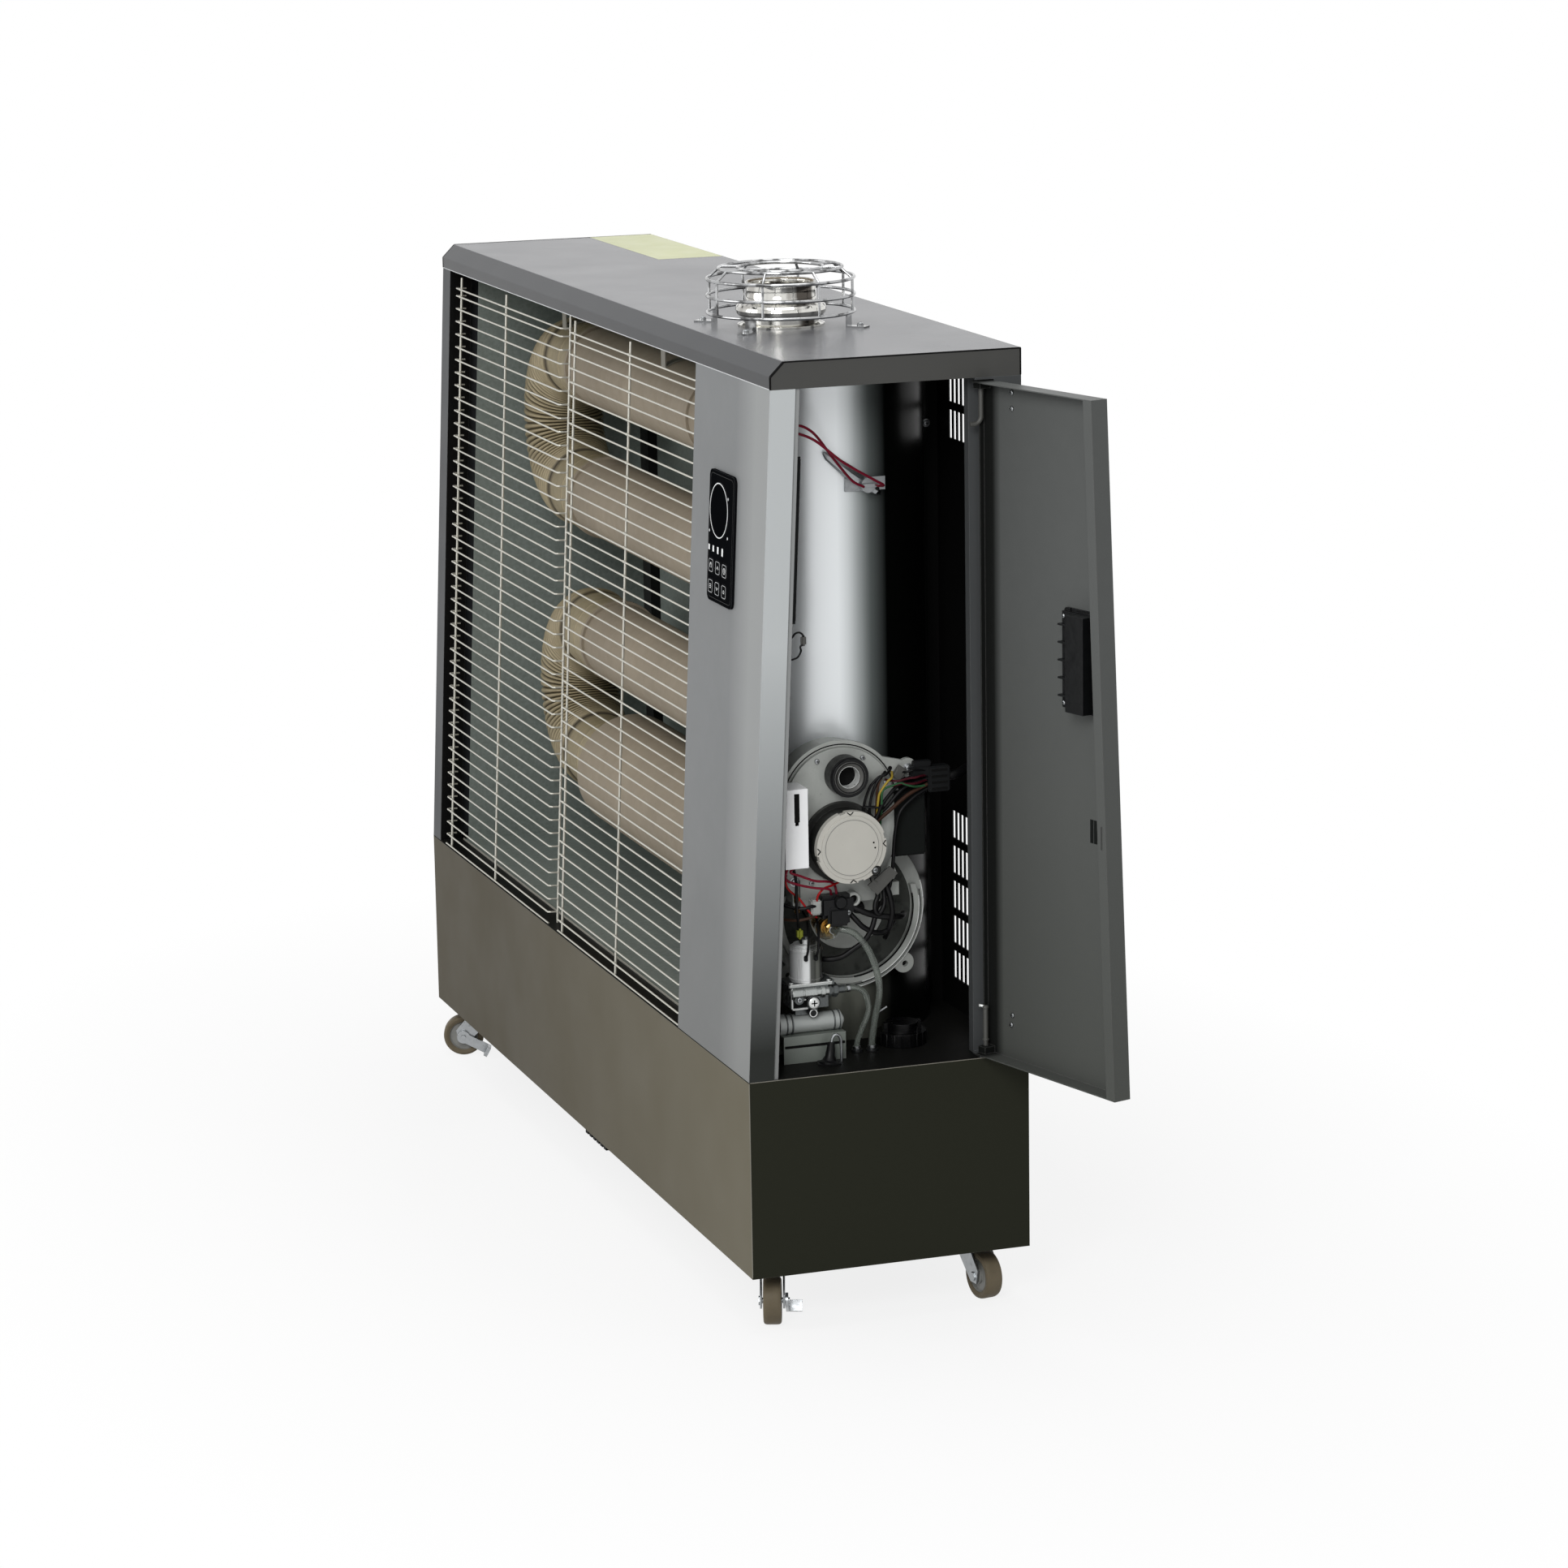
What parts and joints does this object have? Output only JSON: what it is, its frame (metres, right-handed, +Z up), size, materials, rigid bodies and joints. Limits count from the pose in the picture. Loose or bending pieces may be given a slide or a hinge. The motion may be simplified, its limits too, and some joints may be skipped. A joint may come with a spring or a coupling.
{
  "type": "infrared diesel heater",
  "caption": "Wheeled infrared diesel heater: slanted cabinet on a fuel plinth, radiant tubes behind a wire guard, caged flue, and a burner bay behind a hinged side door.",
  "frame": {"origin": "on the floor, under the middle of the bounding box with the service door open", "axes": "+X to the right along the front, +Y from the front to the back, +Z up"},
  "size_m": [1.446, 0.3402, 1.0712],
  "materials": {
    "plinth_paint": "dark grey satin powder coat",
    "dark_sheet": "black matt",
    "grey_paint": "mid grey satin powder coat",
    "cap_paint": "mid grey satin powder coat",
    "door_paint": "grey satin powder coat",
    "reflector_sheet": "satin stainless",
    "polished_sheet": "bright stainless",
    "heat_tube": "matt beige heat-proof coating",
    "bellows_steel": "ribbed steel",
    "wire_steel": "bright wire",
    "zinc_steel": "zinc plated",
    "cast_metal": "as cast",
    "black_metal": "black satin",
    "motor_cap": "pale beige",
    "brass_part": "machined",
    "white_plastic": "white",
    "black_plastic": "black",
    "clear_hose": "clear fuel hose",
    "cable": "cable insulation",
    "fascia": "black gloss",
    "key_cap": "black",
    "tyre_grey": "grey-brown tread"
  },
  "bodies": {
    "cabinet": {"plinth_shell": "plinth_paint", "plinth_floor": "dark_sheet", "fuel_tank": "dark_sheet", "left_end_panel": "grey_paint", "back_panel": "dark_sheet", "control_column": "grey_paint", "rear_post": "grey_paint", "bay_divider": "dark_sheet", "heat_shield": "polished_sheet", "top_cap": "cap_paint", "reflector": "reflector_sheet", "left_guard": "wire_steel", "right_guard": "wire_steel", "upper_tube": "heat_tube", "second_tube": "heat_tube", "third_tube": "heat_tube", "combustion_drum": "heat_tube", "upper_bellows": "bellows_steel", "lower_bellows": "bellows_steel", "tube_hangers": "dark_sheet", "flue_collar": "cast_metal", "flue_guard": "wire_steel", "burner_flange": "cast_metal", "burner_housing": "cast_metal", "burner_motor": "black_metal", "nozzle_holder": "brass_part", "motor_end_cap": "motor_cap", "intake_collar": "black_plastic", "igniter_box": "white_plastic", "fuel_pump": "zinc_steel", "pump_solenoid": "zinc_steel", "fuel_filter": "zinc_steel", "fuel_hoses": "clear_hose", "thermostat": "zinc_steel", "wiring_harness": "cable", "control_box": "black_plastic", "control_fascia": "fascia", "hinge_pins": "zinc_steel", "castor_plates": "zinc_steel"},
    "door": {"service_door": "door_paint", "latch_housing": "black_plastic"},
    "pull": {"latch_paddle": "black_plastic"},
    "fan": {"fan_wheel": "zinc_steel"},
    "filler": {"filler_cap": "black_plastic"},
    "button_1": {"key_1": "key_cap"},
    "button_2": {"key_2": "key_cap"},
    "button_3": {"key_3": "key_cap"},
    "button_4": {"key_4": "key_cap"},
    "button_5": {"key_5": "key_cap"},
    "button_6": {"key_6": "key_cap"},
    "castor_fl": {"castor_fork_fl": "zinc_steel"},
    "wheel_fl": {"castor_wheel_fl": "tyre_grey"},
    "castor_fr": {"castor_fork_fr": "zinc_steel"},
    "wheel_fr": {"castor_wheel_fr": "tyre_grey"},
    "castor_rl": {"castor_fork_rl": "zinc_steel"},
    "wheel_rl": {"castor_wheel_rl": "tyre_grey"},
    "castor_rr": {"castor_fork_rr": "zinc_steel"},
    "wheel_rr": {"castor_wheel_rr": "tyre_grey"},
    "brake_fl": {"brake_lever_fl": "zinc_steel"},
    "brake_fr": {"brake_lever_fr": "zinc_steel"}
  },
  "joints": [
    {"name": "door_hinge", "type": "hinge", "parent": "cabinet", "child": "door", "pos_m": [0.49995, 0.10042, 0.6265], "axis": [0, 0, 1], "range_deg": [-106, 6]},
    {"name": "latch_pull", "type": "hinge", "parent": "door", "child": "pull", "pos_m": [0.63423, 0.14308, 0.711], "axis": [0, 0, -1], "range_deg": [-35, 0], "stiffness_Nm_per_rad": 0.05, "springref_deg": 11.46},
    {"name": "fan_spin", "type": "hinge", "parent": "cabinet", "child": "fan", "pos_m": [0.41696, -0.03458, 0.5], "axis": [1, 0, 0], "continuous": true},
    {"name": "filler_cap_turn", "type": "hinge", "parent": "cabinet", "child": "filler", "pos_m": [0.41896, 0.03742, 0.282], "axis": [0, 0, 1], "range_deg": [0, 90]},
    {"name": "button_1_press", "type": "slide", "parent": "cabinet", "child": "button_1", "axis": [0, 0.9988, -0.0493], "range_m": [0, 0.0008], "stiffness_N_per_m": 400, "springref_m": -0.0005},
    {"name": "button_2_press", "type": "slide", "parent": "cabinet", "child": "button_2", "axis": [0, 0.9988, -0.0493], "range_m": [0, 0.0008], "stiffness_N_per_m": 400, "springref_m": -0.0005},
    {"name": "button_3_press", "type": "slide", "parent": "cabinet", "child": "button_3", "axis": [0, 0.9988, -0.0493], "range_m": [0, 0.0008], "stiffness_N_per_m": 400, "springref_m": -0.0005},
    {"name": "button_4_press", "type": "slide", "parent": "cabinet", "child": "button_4", "axis": [0, 0.9988, -0.0493], "range_m": [0, 0.0008], "stiffness_N_per_m": 400, "springref_m": -0.0005},
    {"name": "button_5_press", "type": "slide", "parent": "cabinet", "child": "button_5", "axis": [0, 0.9988, -0.0493], "range_m": [0, 0.0008], "stiffness_N_per_m": 400, "springref_m": -0.0005},
    {"name": "button_6_press", "type": "slide", "parent": "cabinet", "child": "button_6", "axis": [0, 0.9988, -0.0493], "range_m": [0, 0.0008], "stiffness_N_per_m": 400, "springref_m": -0.0005},
    {"name": "castor_fl_swivel", "type": "hinge", "parent": "cabinet", "child": "castor_fl", "pos_m": [-0.66304, -0.11958, 0.052], "axis": [0, 0, 1], "continuous": true},
    {"name": "wheel_fl_roll", "type": "hinge", "parent": "castor_fl", "child": "wheel_fl", "pos_m": [-0.67108, -0.14431, 0.025], "axis": [0.9511, -0.309, 0], "continuous": true},
    {"name": "brake_fl_lift", "type": "hinge", "parent": "castor_fl", "child": "brake_fl", "pos_m": [-0.67108, -0.14431, 0.025], "axis": [0.9511, -0.309, 0], "range_deg": [0, 25]},
    {"name": "castor_fr_swivel", "type": "hinge", "parent": "cabinet", "child": "castor_fr", "pos_m": [0.44695, -0.11958, 0.052], "axis": [0, 0, 1], "continuous": true},
    {"name": "wheel_fr_roll", "type": "hinge", "parent": "castor_fr", "child": "wheel_fr", "pos_m": [0.47139, -0.12847, 0.025], "axis": [0.342, 0.9397, 0], "continuous": true},
    {"name": "brake_fr_lift", "type": "hinge", "parent": "castor_fr", "child": "brake_fr", "pos_m": [0.47139, -0.12847, 0.025], "axis": [0.342, 0.9397, 0], "range_deg": [0, 25]},
    {"name": "castor_rl_swivel", "type": "hinge", "parent": "cabinet", "child": "castor_rl", "pos_m": [-0.66304, 0.10342, 0.052], "axis": [0, 0, 1], "continuous": true},
    {"name": "wheel_rl_roll", "type": "hinge", "parent": "castor_rl", "child": "wheel_rl", "pos_m": [-0.68748, 0.11231, 0.025], "axis": [-0.342, -0.9397, 0], "continuous": true},
    {"name": "castor_rr_swivel", "type": "hinge", "parent": "cabinet", "child": "castor_rr", "pos_m": [0.44695, 0.10342, 0.052], "axis": [0, 0, 1], "continuous": true},
    {"name": "wheel_rr_roll", "type": "hinge", "parent": "castor_rr", "child": "wheel_rr", "pos_m": [0.4727, 0.10704, 0.025], "axis": [-0.1392, 0.9903, 0], "continuous": true}
  ]
}
